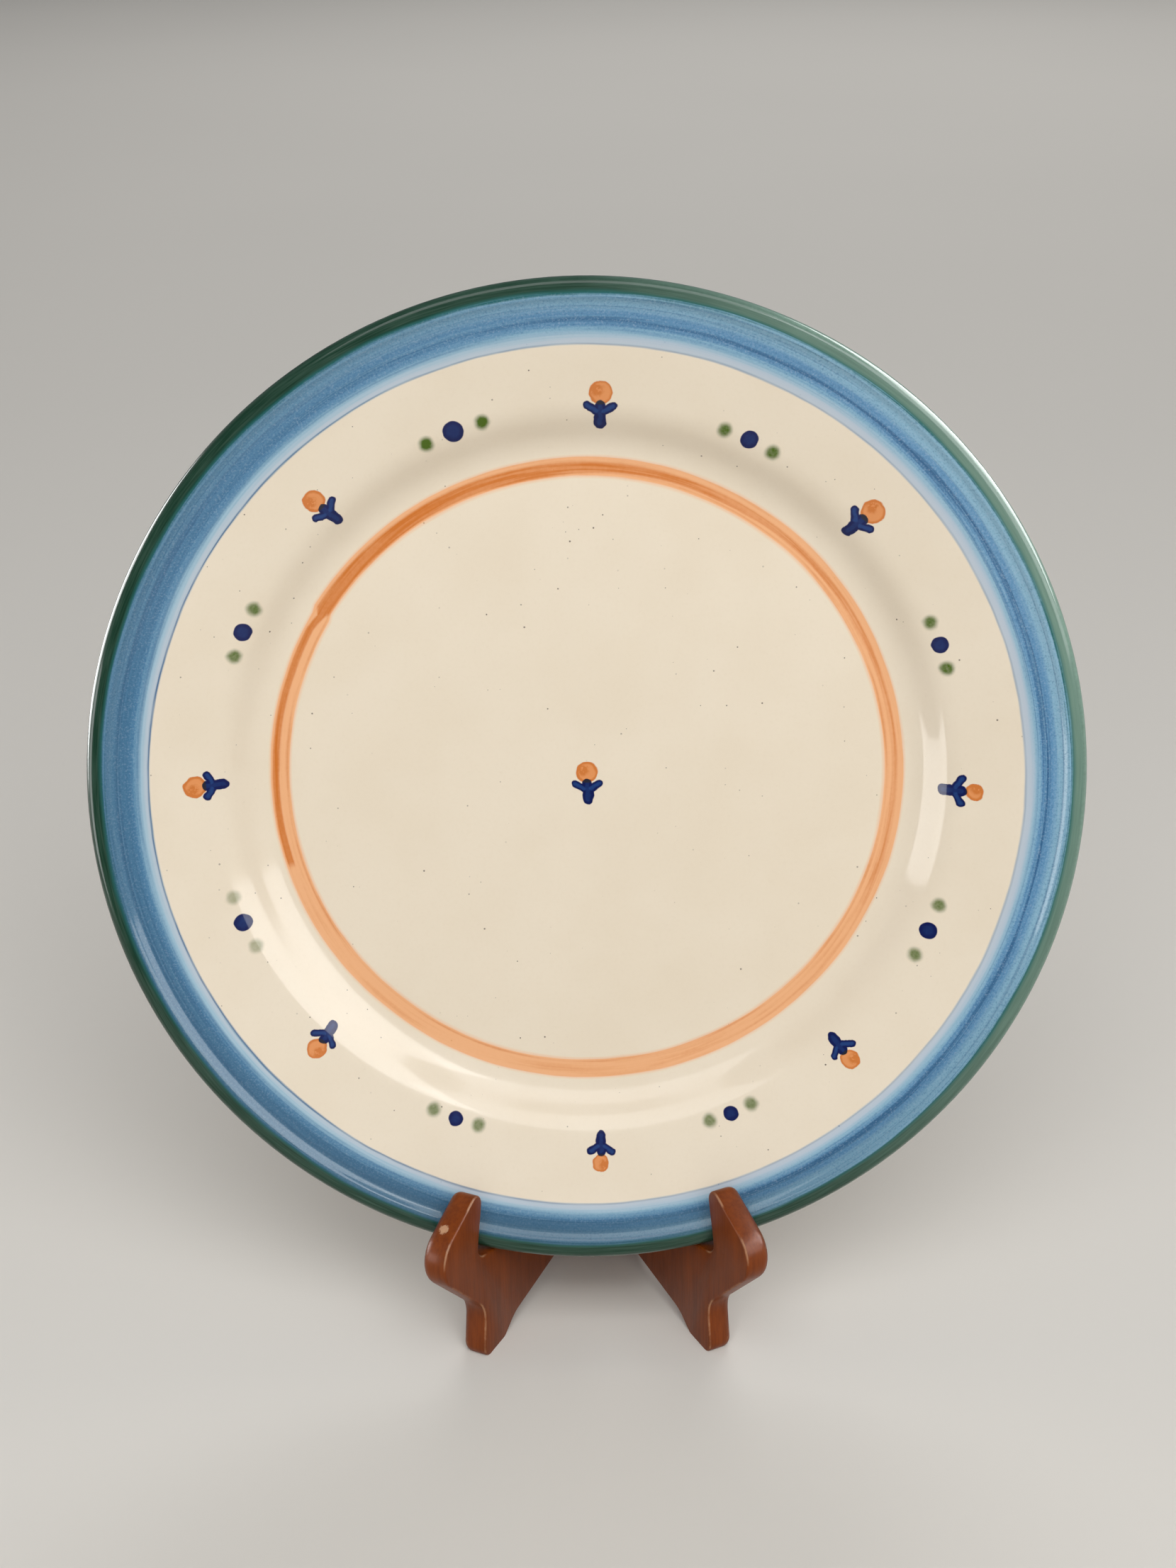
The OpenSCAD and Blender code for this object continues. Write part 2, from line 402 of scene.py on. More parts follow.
def combine(piece, other, operation):
    """Cuts other out of piece, or adds it, and removes other."""
    take(piece)
    boolean = piece.modifiers.new("Boolean", "BOOLEAN")
    boolean.operation = operation
    boolean.solver = "EXACT"
    boolean.object = other
    bpy.ops.object.modifier_apply(modifier=boolean.name)
    bpy.data.objects.remove(other, do_unlink=True)


def smooth(piece, degrees):
    take(piece)
    bpy.ops.object.shade_smooth_by_angle(angle=math.radians(degrees))


def dress(piece, material, body, slot, *nodes):
    """Gives a finished piece its finish and body, and hides the CAD nodes that it stands for. The
    slot is not used.
    """
    piece.data.materials.clear()
    piece.data.materials.append(material)
    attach(piece, body)
    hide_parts(*nodes)


# ---------------------------------------------------------------- finishes


class Reading:
    """A socket that can be used in sums: each sign adds one Math node."""

    def __init__(self, bench, socket):
        self.bench = bench
        self.socket = socket

    def sum(self, operation, first, second):
        return self.bench.node("Math", {"operation": operation}, {0: first, 1: second})

    def __add__(self, other):
        return self.sum("ADD", self, other)

    def __radd__(self, other):
        return self.sum("ADD", other, self)

    def __sub__(self, other):
        return self.sum("SUBTRACT", self, other)

    def __rsub__(self, other):
        return self.sum("SUBTRACT", other, self)

    def __mul__(self, other):
        return self.sum("MULTIPLY", self, other)

    def __rmul__(self, other):
        return self.sum("MULTIPLY", other, self)

    def __truediv__(self, other):
        return self.sum("DIVIDE", self, other)

    def __abs__(self):
        return self.sum("ABSOLUTE", self, 0)

    def least(self, other):
        return self.sum("MINIMUM", self, other)

    def most(self, other):
        return self.sum("MAXIMUM", self, other)

    def under(self, other):
        return self.sum("LESS_THAN", self, other)

    def ease(self, low, high):
        """0 below low and 1 above high, smooth between them; the other way round if low > high."""
        ends = (low, high, 0, 1) if low < high else (high, low, 1, 0)
        feeds = dict(enumerate((self, *ends)))
        return self.bench.node("MapRange", {"interpolation_type": "SMOOTHSTEP"}, feeds)


class Bench:
    """Builds the nodes of one finish."""

    def __init__(self, name):
        self.material = bpy.data.materials.new(name)
        self.material.use_nodes = True
        self.tree = self.material.node_tree
        self.surface = next(n for n in self.tree.nodes if n.type == "BSDF_PRINCIPLED")

    def feed(self, socket, value):
        if isinstance(value, Reading):
            self.tree.links.new(value.socket, socket)
        elif socket.type == "RGBA":
            socket.default_value = (*value[:3], 1)
        else:
            socket.default_value = value

    def node(self, kind, settings=None, feeds=None, give=0):
        """Adds a node, sets it, then fills its sockets with values or readings."""
        node = self.tree.nodes.new("ShaderNode" + kind)
        for name, value in (settings or {}).items():
            if name != "stops":
                setattr(node, name, value)
                continue
            marks = node.color_ramp.elements
            while len(marks) < len(value):
                marks.new(1)
            for mark, (position, shade) in zip(marks, value):
                mark.position = position
                mark.color = (*shade[:3], 1)
        for name, value in (feeds or {}).items():
            self.feed(node.inputs[name], value)
        return Reading(self, node.outputs[give])

    def place(self, location=(0, 0, 0), rotation=(0, 0, 0), scale=(1, 1, 1), vector=None):
        """Coordinates about a place, turned and scaled with it."""
        vector = vector or self.node("TexCoord", give="Object")
        feeds = {"Vector": vector, "Location": location, "Rotation": rotation, "Scale": scale}
        return self.node("Mapping", {"vector_type": "TEXTURE"}, feeds)

    def axes(self, vector):
        split = self.node("SeparateXYZ", feeds={0: vector})
        return [Reading(self, out) for out in split.socket.node.outputs]

    def vector(self, x, y, z):
        return self.node("CombineXYZ", feeds={0: x, 1: y, 2: z})

    def reach(self, vector, centre=(0, 0, 0)):
        return self.node("VectorMath", {"operation": "DISTANCE"}, {0: vector, 1: centre}, "Value")

    def shift(self, vector, other):
        return self.node("VectorMath", {"operation": "ADD"}, {0: vector, 1: other})

    def noise(self, vector, size, detail=2.0, rough=0.5):
        feeds = {"Vector": vector, "Scale": 1 / size, "Detail": detail, "Roughness": rough}
        return self.node("TexNoise", feeds=feeds)

    def mix(self, below, above, share):
        feeds = {0: share, 6: below, 7: above}
        return self.node("Mix", {"data_type": "RGBA"}, feeds, 2)

    def ramp(self, value, stops):
        return self.node("ValToRGB", {"stops": stops}, {0: value})

    def levels(self, value, stops):
        """A ramp of plain numbers from 0 to 1. The sum turns its grey into a number."""
        return self.ramp(value, [(place, (level,) * 3) for place, level in stops]) * 1.0

    def band(self, value, low, high, soft):
        return value.ease(low - soft, low + soft) * value.ease(high + soft, high - soft)

    def stroke(self, vector, begin, end, half):
        """Distance outside a brush stroke from begin to end; half is half its width."""
        begin, end = Vector((*begin, 0)), Vector((*end, 0))
        run = end - begin
        from_begin = self.shift(vector, -begin)
        dot = self.node("VectorMath", {"operation": "DOT_PRODUCT"}, {0: from_begin, 1: run}, 1)
        share = self.node("Clamp", feeds={0: dot * (1 / run.length_squared)})
        along = self.node("VectorMath", {"operation": "SCALE"}, {0: run, "Scale": share})
        return self.reach(from_begin, along) - half

    def finish(self, base, roughness, bump=None, depth=0.0001, strength=1.0, fixed=None):
        """Feeds the surface shader. The fixed numbers are set on its own sockets."""
        self.feed(self.surface.inputs["Base Color"], base)
        self.feed(self.surface.inputs["Roughness"], roughness)
        if bump is not None:
            feeds = {"Height": bump, "Distance": depth, "Strength": strength}
            self.feed(self.surface.inputs["Normal"], self.node("Bump", feeds=feeds))
        for name, value in (fixed or {}).items():
            self.surface.inputs[name].default_value = value
        return self.material


# Flowers and rows of dots take turns round the rim, an eighth of a turn from one flower to the
# next, and the painter's hand slips a few degrees each time.
EIGHTH = 45
# Each flower: its slip, the reach of its blossom, the blossom's radius, the stem's size and turn
FLOWERS = [
    (3, 109, 3.4, 1.0, 0),
    (2, 110, 3.5, 1.0, 4),
    (2.5, 110, 2.5, 1.0, 0),
    (3, 112, 2.8, 0.9, 3),
    (-1, 113.5, 2.6, 0.9, 3),
    (1, 111, 2.8, 0.9, -8),
    (0.5, 111, 3.0, 0.9, -2),
    (2.5, 109.5, 3.0, 0.95, -5),
]
# The flower in the middle of the well, in the same terms
MIDDLE_FLOWER = (0, 1, 3.1, 0.95, -1)
# Each row of dots, from the one left of the top: its slip, its reach, the spacing in degrees,
# the radius of the middle dot and how full the green ones are
DOTS = [
    (3, 105, 4.5, 2.9, 1.0),
    (3.5, 106, 4, 2.5, 0.9),
    (2, 106.5, 3.8, 2.4, 0.9),
    (2.5, 107.5, 4.3, 2.4, 0.8),
    (0.5, 107.5, 3.5, 2.1, 0.75),
    (-0.5, 107.5, 3.7, 2.1, 0.75),
    (1, 107, 4.2, 2.5, 0.5),
    (2.5, 105.5, 4, 2.5, 0.85),
]
# Reaches of the painted bands in millimetres from the plate's middle
RING = (85.9, 90.9)
RING_WASH = (85.2, 91.4)
RING_WIDTH = 5.0
BAND_START = 123.2
BAND_SLIP = 1.3
BAND_END = 135.7
LIP_START = 135.2
# Bearings, as shares of a turn, where the ring's two brush turns meet and where one runs out
RING_LAP = 303.5 / 360
RING_TAIL = 254 / 360
# Heights of the clay's middle over the foot, under the well and where the rim starts
WELL_MIDDLE = 6.0
RIM_MIDDLE = 14.1
COVE_SLOPE = 0.8
# Where navy and orange lie over each other the paint is nearly black
NAVY_OVER_ORANGE = (0.02, 0.018, 0.012)
# The one chip in the lacquer, in the left board's frame, in millimetres
LEFT_CHIP = (4.5, -83.1, 43.7)


def on_plate(bearing, reach):
    """A point on the plate in millimetres, from a bearing clockwise from the top."""
    turn = math.radians(bearing)
    return Vector((reach * math.sin(turn), reach * math.cos(turn), 0))


class PlateGlaze:
    """The whole painted face and the plain back of the plate, in millimetres about its middle."""

    def __init__(self, sizes, colours):
        self.c = colours
        self.b = Bench("painted_glaze")
        rotation = (math.pi / 2 - sizes.lean, 0, 0)
        self.p = self.b.place(plate_seat(sizes), rotation, (MM, MM, MM))
        self.x, self.y, self.w = self.b.axes(self.p)
        self.flat = self.b.vector(self.x, self.y, 0)
        self.reach = self.b.reach(self.flat)
        turn = self.b.node("Math", {"operation": "ARCTAN2"}, {0: self.x, 1: self.y})
        self.bearing = turn * (0.5 / math.pi) + turn.under(0.0)
        self.fine = self.b.noise(self.p, 1.1, 3, 0.6)
        self.broad = self.b.noise(self.p, 24, 3)
        self.swept = self.sweep(26, 0.9)
        self.swept_fine = self.sweep(9, 0.45)
        rim = (self.reach - sizes.rim_start / MM) * rim_slope(sizes) + RIM_MIDDLE
        cove = (self.reach - sizes.well / MM + 0.5) * COVE_SLOPE + WELL_MIDDLE
        middle = rim.least(cove).most(WELL_MIDDLE)
        self.face = (self.w - middle).ease(-0.4, 0.4)

    def sweep(self, along, across):
        """Noise drawn out along the wheel's turn, as a brush leaves it."""
        ring = self.b.vector(self.x / self.reach, self.y / self.reach, 0)
        longer = self.b.node(
            "VectorMath", {"operation": "SCALE"}, {0: ring, "Scale": 100.0 / along}
        )
        drawn = self.b.shift(longer, self.b.vector(0.0, 0.0, self.reach / across))
        return self.b.noise(drawn, 1.0, 3)

    def ground(self):
        b, c = self.b, self.c
        cream = b.mix(c.cream, c.cream_warm, self.broad.ease(0.3, 0.8) * 0.22)
        cream = b.mix(cream, c.cream_warm, self.fine.ease(0.45, 0.8) * 0.12)
        return self.specks(cream, 3.4, 0.078, 0.8)

    def specks(self, below, size, radius, share):
        """Iron specks: a few cells in each hundred show a small dark dot."""
        b = self.b
        feeds = {"Vector": self.p, "Scale": 1 / size}
        cell = b.node("TexVoronoi", feeds=feeds)
        cell_node = cell.socket.node
        chance = b.axes(Reading(b, cell_node.outputs["Color"]))
        spot = (cell - chance[0] * radius).ease(0.02, -0.012)
        return b.mix(below, self.c.speck, spot * share * chance[1].ease(0.1, 0.9))

    def ring(self, below):
        """The orange ring round the well, in two brush turns that meet at the upper left."""
        b, c = self.b, self.c
        lap, tail = RING_LAP, RING_TAIL
        shift = b.levels(self.bearing, [(0, 0), (lap - 0.001, 0), (lap, 0.65), (0.96, 0.05), (1, 0)])
        reach = self.reach - shift * 0.9 + (self.broad - 0.5) * 0.8 + (self.swept - 0.5) * 0.5
        body = b.band(reach, *RING, 0.3)
        wash = b.band(reach, *RING_WASH, 0.55) * 0.5
        full = b.levels(
            self.bearing,
            [
                (0, 0.75), (0.08, 0.6), (0.2, 0.42), (0.32, 0.4), (0.34, 0.14), (0.6, 0.1),
                (tail - 0.002, 0.1), (tail, 0.95), (0.8, 0.85), (lap, 0.9), (1, 0.7),
            ],
        )
        middle = b.levels(
            self.bearing,
            [(0, 0.45), (0.3, 0.55), (tail, 0.75), (lap - 0.01, 0.7), (lap, 0.45), (1, 0.45)],
        )
        half = b.levels(
            self.bearing,
            [(0, 0.8), (0.1, 0.5), (0.3, 0.45), (lap - 0.001, 0.5), (lap, 1.0), (1, 0.8)],
        )
        off = abs(reach - (middle * RING_WIDTH + RING[0])) / (half * 2.7)
        streak = off.ease(1.05, 0.45) * full
        lines = self.swept.ease(0.4, 0.7) * 0.35
        lines = lines + b.band(reach, RING[0] + 0.2, RING[0] + 0.8, 0.3) * 0.3
        deep = (streak + lines + (self.fine - 0.5) * 0.25).ease(0.0, 1.25)
        orange = b.mix(c.orange, c.orange_deep, deep)
        return b.mix(below, orange, (body + wash).least(1.0) * (0.8 + deep * 0.18) * self.face)

    def blue_band(self, below):
        b, c = self.b, self.c
        reach = self.reach + (self.broad - 0.5) * 0.7
        inner = BAND_START - self.y / self.reach * BAND_SLIP
        depth = (reach - inner) / (BAND_END - inner)
        lines = self.sweep(70, 0.55)
        grain = (self.fine - 0.5) * 0.5 + (self.swept_fine - 0.5) * 0.6
        drawn = depth + (self.swept - 0.5) * 0.16 + (lines - 0.5) * 0.2 + grain * 0.06
        streaked = b.ramp(
            drawn,
            [
                (0, c.blue_pale), (0.12, c.blue_pale), (0.26, c.blue_light), (0.38, c.blue_mid),
                (0.47, c.blue_deep), (0.52, c.blue_mid), (0.6, c.blue_mid), (0.7, c.blue_light),
                (0.92, c.blue_light), (1, c.teal),
            ],
        )
        solid = b.ramp(
            drawn,
            [
                (0, c.blue_light), (0.06, c.blue_pale), (0.17, c.blue_light), (0.3, c.blue),
                (0.6, c.blue), (0.67, c.blue_deep), (0.74, c.blue), (0.9, c.blue), (1, c.teal),
            ],
        )
        side = b.levels(
            self.bearing,
            [(0, 0.35), (0.12, 0.05), (0.42, 0.1), (0.55, 0.5), (0.65, 0.9), (0.85, 0.8), (1, 0.35)],
        )
        band = b.mix(streaked, solid, side)
        body = depth.ease(0.12, 0.4) * depth.ease(1.02, 0.9)
        deeper = (lines.ease(0.5, 0.72) * 0.45 + grain.ease(0.0, 0.5) * 0.35) * body
        paler = (lines.ease(0.45, 0.28) * 0.3 + grain.ease(0.0, -0.5) * 0.3) * body
        band = b.mix(band, c.blue_deep, deeper)
        band = b.mix(band, c.blue_light, paler)
        grit = b.noise(self.p, 0.55, 2, 0.7)
        band = b.mix(band, c.blue_deep, grit.ease(0.52, 0.7) * body * 0.4)
        band = b.mix(band, c.blue_pale, grit.ease(0.48, 0.32) * body * 0.28)
        # The band is darker towards the bottom and lower left, by bearing.
        darker_towards_bottom = b.levels(
            self.bearing,
            [(0, 0.1), (0.1, 0), (0.3, 0.05), (0.42, 0.45), (0.52, 0.75), (0.65, 0.55), (1, 0.1)],
        )
        band = b.mix(band, c.blue_bottom, darker_towards_bottom * depth.ease(0.15, 0.6))
        line = b.band(reach - inner + (self.swept - 0.5) * 0.5, -0.05, 0.4, 0.25)
        whole = b.levels(
            self.bearing,
            [(0, 0.4), (0.12, 0.4), (0.3, 0.3), (0.5, 0.4), (0.62, 0.9), (0.85, 1.0), (1, 0.4)],
        )
        line = line * (self.swept_fine.ease(0.3, 0.6) * 0.4 + 0.6) * whole
        cover = (reach - inner).ease(-0.4, 0.4) * (0.78 + depth.ease(0.0, 0.35) * 0.22)
        surface = b.mix(below, band, cover * self.face)
        return b.mix(surface, c.blue_deep, line * self.face)

    def lip(self, below):
        """Green glaze on the rolled lip, with runs on the back and a painted highlight across its
        upper right.
        """
        b, c = self.b, self.c
        runs = (self.swept - 0.5) * 0.5 + (self.broad - 0.5) * 1.2
        front = (self.reach + runs * 0.7).ease(LIP_START, LIP_START + 0.8)
        drips = b.noise(self.flat, 5.5, 2) * 5.0
        back = (self.reach + drips).ease(LIP_START, LIP_START + 1.0)
        cover = front * self.face + back * (1.0 - self.face)
        thin = (self.reach + (self.fine - 0.5) * 1.2).ease(138.2, 139.8)
        # Painted highlight: the lip turns pale green from about 25 to 150 degrees clockwise from the
        # top, strongest near 70; thin also lightens the outer edge where the glaze breaks.
        pale = b.levels(
            self.bearing,
            [(0, 0.08), (0.07, 0.55), (0.2, 0.75), (0.32, 0.5), (0.42, 0.08), (0.9, 0.03), (1, 0.08)],
        )
        pale = pale * (0.9 + thin * 0.5) + (self.swept_fine - 0.5) * 0.3
        pale = pale.most(0.0).least(1.0)
        green = b.mix(c.green, c.green_break_and_highlight, pale)
        green = b.mix(green, c.teal, (self.reach + runs).ease(136.7, 135.5) * 0.6 * self.face)
        return b.mix(below, green, cover)

    def nearest_flower(self):
        """Coordinates about the nearest flower's blossom, with its stem pointing down."""
        b = self.b
        warp = b.noise(self.p, 2.6, 1)
        spot = b.shift(self.flat, b.vector((warp - 0.5) * 1.3, (self.fine - 0.5) * 0.5, 0.0))
        best = None
        for at, (slip, reach, petal, size, turn) in enumerate((*FLOWERS, MIDDLE_FLOWER)):
            bearing = at * EIGHTH + slip
            rotation = (0, 0, -math.radians(bearing + turn))
            local = b.place(on_plate(bearing, reach), rotation, (size,) * 3, spot)
            away = b.reach(local)
            if best is None:
                best, radius, nearest = local, petal / size, away
                continue
            closer = away.under(nearest)
            best = b.node("Mix", {"data_type": "VECTOR"}, {0: closer, 4: best, 5: local}, 1)
            radius = b.node("Mix", {"data_type": "FLOAT"}, {0: closer, 2: radius, 3: petal / size})
            nearest = nearest.least(away)
        return best, radius

    def flowers(self, below):
        b, c = self.b, self.c
        at, radius = self.nearest_flower()
        disc = b.reach(at) - radius + 3.4
        blossom = (disc + (self.broad - 0.5) * 1.2).ease(3.55, 3.2)
        pool = b.reach(at, (-1.1, 0.6, 0))
        pool = (pool + (self.fine - 0.5) * 1.6).ease(2.3, 0.8)
        crumbs = self.fine.ease(0.52, 0.66)
        deep = 0.5 + pool * 0.55 + disc.ease(2.3, 3.2) * 0.6 - crumbs * pool * 0.45
        petal = b.mix(c.orange, c.orange_deep, deep.least(1.0).most(0.0))
        stem = b.stroke(at, (0, -3.7), (0.1, -8.4), 1.65)
        left = b.stroke(at, (-1.1, -5.1), (-3.6, -3.5), 1.15)
        right = b.stroke(at, (1.1, -5.1), (3.5, -3.6), 1.15)
        whole = stem.least(left).least(right)
        leaves = left.least(right)
        navy_mask = whole.ease(0.14, -0.14)
        thin = leaves.ease(-0.3, -0.9) * 0.6 + stem.ease(-0.6, -1.3) * 0.3
        thin = (thin + (self.fine - 0.5) * 0.4 - 0.05).most(0.0).least(1.0)
        navy = b.mix(c.navy, c.navy_light, thin)
        overlap = b.mix(navy, NAVY_OVER_ORANGE, blossom * 0.75)
        surface = b.mix(below, petal, blossom * 0.96 * self.face)
        return b.mix(surface, overlap, navy_mask * self.face), navy_mask

    def dots(self, below):
        b, c = self.b, self.c
        warp = b.noise(self.p, 3.2, 1) - 0.5
        spot = b.shift(self.flat, b.vector(warp * 1.0, (self.broad - 0.5) * 0.8, 0.0))
        navy = leaf = None
        for at, (slip, reach, step, size, full) in enumerate(DOTS):
            bearing = (at - 0.5) * EIGHTH + slip
            middle = b.reach(spot, on_plate(bearing, reach)) - size
            navy = middle if navy is None else navy.least(middle)
            for way in (-1, 1):
                outer = b.reach(spot, on_plate(bearing + way * step, reach - 0.2))
                halo = outer.ease(2.75, 0.9) * full
                leaf = halo if leaf is None else leaf.most(halo)
        leaf = leaf * (1.05 + (self.fine - 0.5) * 0.5)
        surface = b.mix(below, c.leaf, leaf.least(1.0) * self.face)
        cover = navy.ease(0.16, -0.12)
        sheen = (navy.ease(-0.3, -1.6) * 0.2 + (self.fine - 0.5) * 0.3).most(0.0)
        blue = b.mix(c.navy, c.navy_light, sheen)
        return b.mix(surface, blue, cover * self.face), cover

    def make(self):
        b, c = self.b, self.c
        surface = self.ground()
        surface = self.ring(surface)
        surface = self.blue_band(surface)
        surface = self.lip(surface)
        surface, stems = self.flowers(surface)
        surface, spots = self.dots(surface)
        bare = self.w.ease(1.3, 0.7)
        surface = b.mix(surface, c.clay, bare)
        peel = b.noise(self.p, 2.2, 2)
        wheel = self.sweep(60, 2.4)
        raised = (stems + spots) * 0.35 * self.face
        height = peel * 0.16 + wheel * 0.35 + self.broad * 0.9 + raised
        gloss = 0.26 + self.fine * 0.1 + bare * 0.5
        return b.finish(
            surface,
            gloss,
            bump=height,
            depth=0.10 * MM,
            strength=0.5,
            fixed={
                "Coat Weight": 1.0,
                "Coat Roughness": 0.08,
                "Coat IOR": 1.34,
                "IOR": 1.5,
                "Specular IOR Level": 0.1,
            },
        )


def lacquer(name, sizes, colours, side, chip=None):
    """Dark red-brown lacquer over wood, worn along the edges, with a painted highlight on the inner
    arris, about one board.
    """
    b = Bench(name)
    place = open_side(sizes, 1)
    turn = place.to_euler()
    own = b.node("TexCoord", give="Object")
    flip = b.node("VectorMath", {"operation": "MULTIPLY"}, {0: own, 1: (side, 1, 1)})
    local = b.place(place.to_translation(), turn, (MM, MM, MM), flip)
    x, forward, v = b.axes(local)
    thickness = sizes.thickness / MM
    fine = b.noise(local, 0.9, 4, 0.65)
    broad = b.noise(local, 14, 3)
    grain_at = b.vector(x * 1.6, forward * 1.2, v * 0.09)
    grain = b.noise(grain_at, 1.2, 4, 0.6)
    figure = b.noise(b.vector(x * 0.5, forward * 0.35, v * 0.04), 1.6, 2)
    tone = (grain.ease(0.35, 0.7) * 0.5 + figure.ease(0.3, 0.7) * 0.35 + broad.ease(0.3, 0.8) * 0.3)
    wood = b.mix(colours.lacquer, colours.lacquer_dark, tone.least(1.0))
    inner = x - 0.25
    outer = thickness + 0.25 - x
    # The pale broken line along the inner arris is partly worn lacquer and partly a painted highlight
    # on the crisp edge.
    rim = b.band(inner + (fine - 0.5) * 0.25, 0.12, 0.55, 0.12)
    patches = b.noise(local, 6, 3)
    worn = rim * patches.ease(0.42, 0.64) * 0.5
    rub = outer.ease(2.6, 1.2) * outer.ease(0.02, 0.3) * (patches * fine * 2).ease(0.66, 0.9) * 0.5
    marks = (worn + rub).least(1.0)
    if chip is not None:
        spot = b.reach(local, chip) + (fine - 0.5) * 2.6
        marks = marks.most(spot.ease(1.7, 1.0) * (0.55 + fine * 0.6))
    surface = b.mix(wood, colours.bare_wood_and_highlight, marks)
    rough = 0.3 + fine * 0.12 + marks * 0.3 + grain * 0.06
    height = grain * 0.45 + fine * 0.25 + broad * 0.6 - marks * 0.6
    return b.finish(
        surface,
        rough,
        bump=height,
        depth=0.12 * MM,
        strength=0.6,
        fixed={"Coat Weight": 0.12, "Coat Roughness": 0.2, "Specular IOR Level": 0.14},
    )


def aged_brass(colours):
    """Satin brass with patches of brown film."""
    b = Bench("aged_brass")
    local = b.place(scale=(MM, MM, MM))
    film = b.noise(local, 3.5, 4, 0.6).ease(0.42, 0.72)
    scratch = b.noise(b.place(scale=(0.4 * MM, 0.4 * MM, 6 * MM)), 1, 3)
    metal = b.mix(colours.brass, colours.brass_dark, film * 0.75)
    rough = 0.28 + film * 0.25 + (scratch - 0.5) * 0.2
    height = scratch * 0.4 + film * 0.3
    return b.finish(metal, rough, bump=height, depth=0.03 * MM, fixed={"Metallic": 1.0})


# ---------------------------------------------------------------- pieces


class PLATE_OT_throw(bpy.types.Operator):
    """Throws, glazes and paints the plate"""

    bl_idname = "plate.throw"
    bl_label = "Throw the plate"

    def execute(self, context):
        sizes = context.scene.plate_sizes
        outline = rounded_outline(plate_outline(sizes), 12)
        profile = trace("painted_plate", [Vector((r, 0, w)) for r, w in outline])
        edit(profile)
        bpy.ops.mesh.select_all(action="SELECT")
        bpy.ops.mesh.spin(steps=224, angle=2 * math.pi, center=(0, 0, 0), axis=(0, 0, 1))
        done()
        turn = Matrix.Rotation(math.pi / 2 - sizes.lean, 4, "X")
        put(profile, Matrix.Translation(plate_seat(sizes)) @ turn)
        smooth(profile, 60)
        glaze = PlateGlaze(sizes, context.scene.finish_colours).make()
        dress(profile, glaze, "plate", "glazed_stoneware", "plate")
        return {"FINISHED"}


LOWER_HINGE = 14 * MM
LEAF_HEIGHT = 24 * MM
UPPER_DROP = 15 * MM
LEAF_WIDTH = 7.2 * MM
LEAF_THICKNESS = 0.9 * MM
KNUCKLE = 2 * MM
SIDE_GAP = 0.25 * MM
SCREW_HEAD = 1.6 * MM
SCREW_SHANK = 0.75 * MM
SCREW_LENGTH = 7 * MM


def hinge_heights(sizes):
    return (LOWER_HINGE, sizes.height - UPPER_DROP - LEAF_HEIGHT)


def cut_mortise(board, height):
    """Cuts the recess for one hinge leaf and its knuckles, in the board's own frame."""
    play = 0.1 * MM
    low, high = Vector((-MM, -KNUCKLE, -play)), Vector((LEAF_WIDTH + play, MM, LEAF_HEIGHT + play))
    middle = (low + high) / 2 + Vector((0, 0, height))
    recess = start("recess", bpy.ops.mesh.primitive_cube_add, size=1, location=middle)
    recess.scale = high - low
    take(recess)
    bpy.ops.object.transform_apply(location=True, rotation=True, scale=True)
    combine(board, recess, "DIFFERENCE")
    barrel = start(
        "barrel",
        bpy.ops.mesh.primitive_cylinder_add,
        vertices=48,
        radius=KNUCKLE + 0.2 * MM,
        depth=LEAF_HEIGHT + 2.4 * MM,
        location=(0, 0, height + LEAF_HEIGHT / 2),
    )
    combine(board, barrel, "DIFFERENCE")


def make_board(name, sizes, plate, side):
    """Saws a board's outline, rounds its edges, cuts its hinge recesses and opens it."""
    outline = rounded_outline(board_outline(sizes, plate))
    points = [Vector((SIDE_GAP, -u, v)) for u, v in outline]
    board = trace(name, points)
    edit(board)
    bpy.ops.mesh.select_all(action="SELECT")
    bpy.ops.mesh.edge_face_add()
    bpy.ops.mesh.extrude_region_move(TRANSFORM_OT_translate={"value": (sizes.thickness, 0, 0)})
    bpy.ops.mesh.select_all(action="SELECT")
    bpy.ops.mesh.normals_make_consistent(inside=False)
    outer_x = SIDE_GAP + sizes.thickness
    rear = -1.1 * MM - 1e-6

    def on(edge, x):
        return all(abs(vertex.co.x - x) < 1e-6 for vertex in edge.verts)

    def at_rear(edge):
        return all(vertex.co.y > rear for vertex in edge.verts)

    pick_edges(board, lambda e: on(e, outer_x) and not at_rear(e))
    bpy.ops.mesh.bevel(offset=sizes.edge_round, segments=6, affect="EDGES")
    pick_edges(board, lambda e: on(e, SIDE_GAP))
    bpy.ops.mesh.bevel(offset=sizes.edge_break, segments=3, affect="EDGES")
    done()
    for height in hinge_heights(sizes):
        cut_mortise(board, height)
    put(board, open_side(sizes, side))
    edit(board)
    bpy.ops.mesh.select_all(action="SELECT")
    bpy.ops.mesh.bisect(
        plane_co=(0, 0, 0), plane_no=(0, 0, 1), use_fill=True, clear_inner=True, threshold=1e-7
    )
    bpy.ops.mesh.select_all(action="SELECT")
    bpy.ops.mesh.normals_make_consistent(inside=False)
    done()
    smooth(board, 32)
    return board


class STAND_OT_boards(bpy.types.Operator):
    """Saws, rounds and lacquers the two boards of the stand"""

    bl_idname = "stand.boards"
    bl_label = "Make the boards"

    def execute(self, context):
        scene = context.scene
        sizes, colours = scene.stand_sizes, scene.finish_colours
        rows = ((-1, "left_board", "stand"), (1, "right_board", "swinging_board"))
        for side, node, body in rows:
            board = make_board("lacquered_" + node, sizes, scene.plate_sizes, side)
            chip = LEFT_CHIP if side < 0 else None
            finish = lacquer("lacquer_" + node, sizes, colours, side, chip)
            dress(board, finish, body, "lacquered_wood", node)
        return {"FINISHED"}


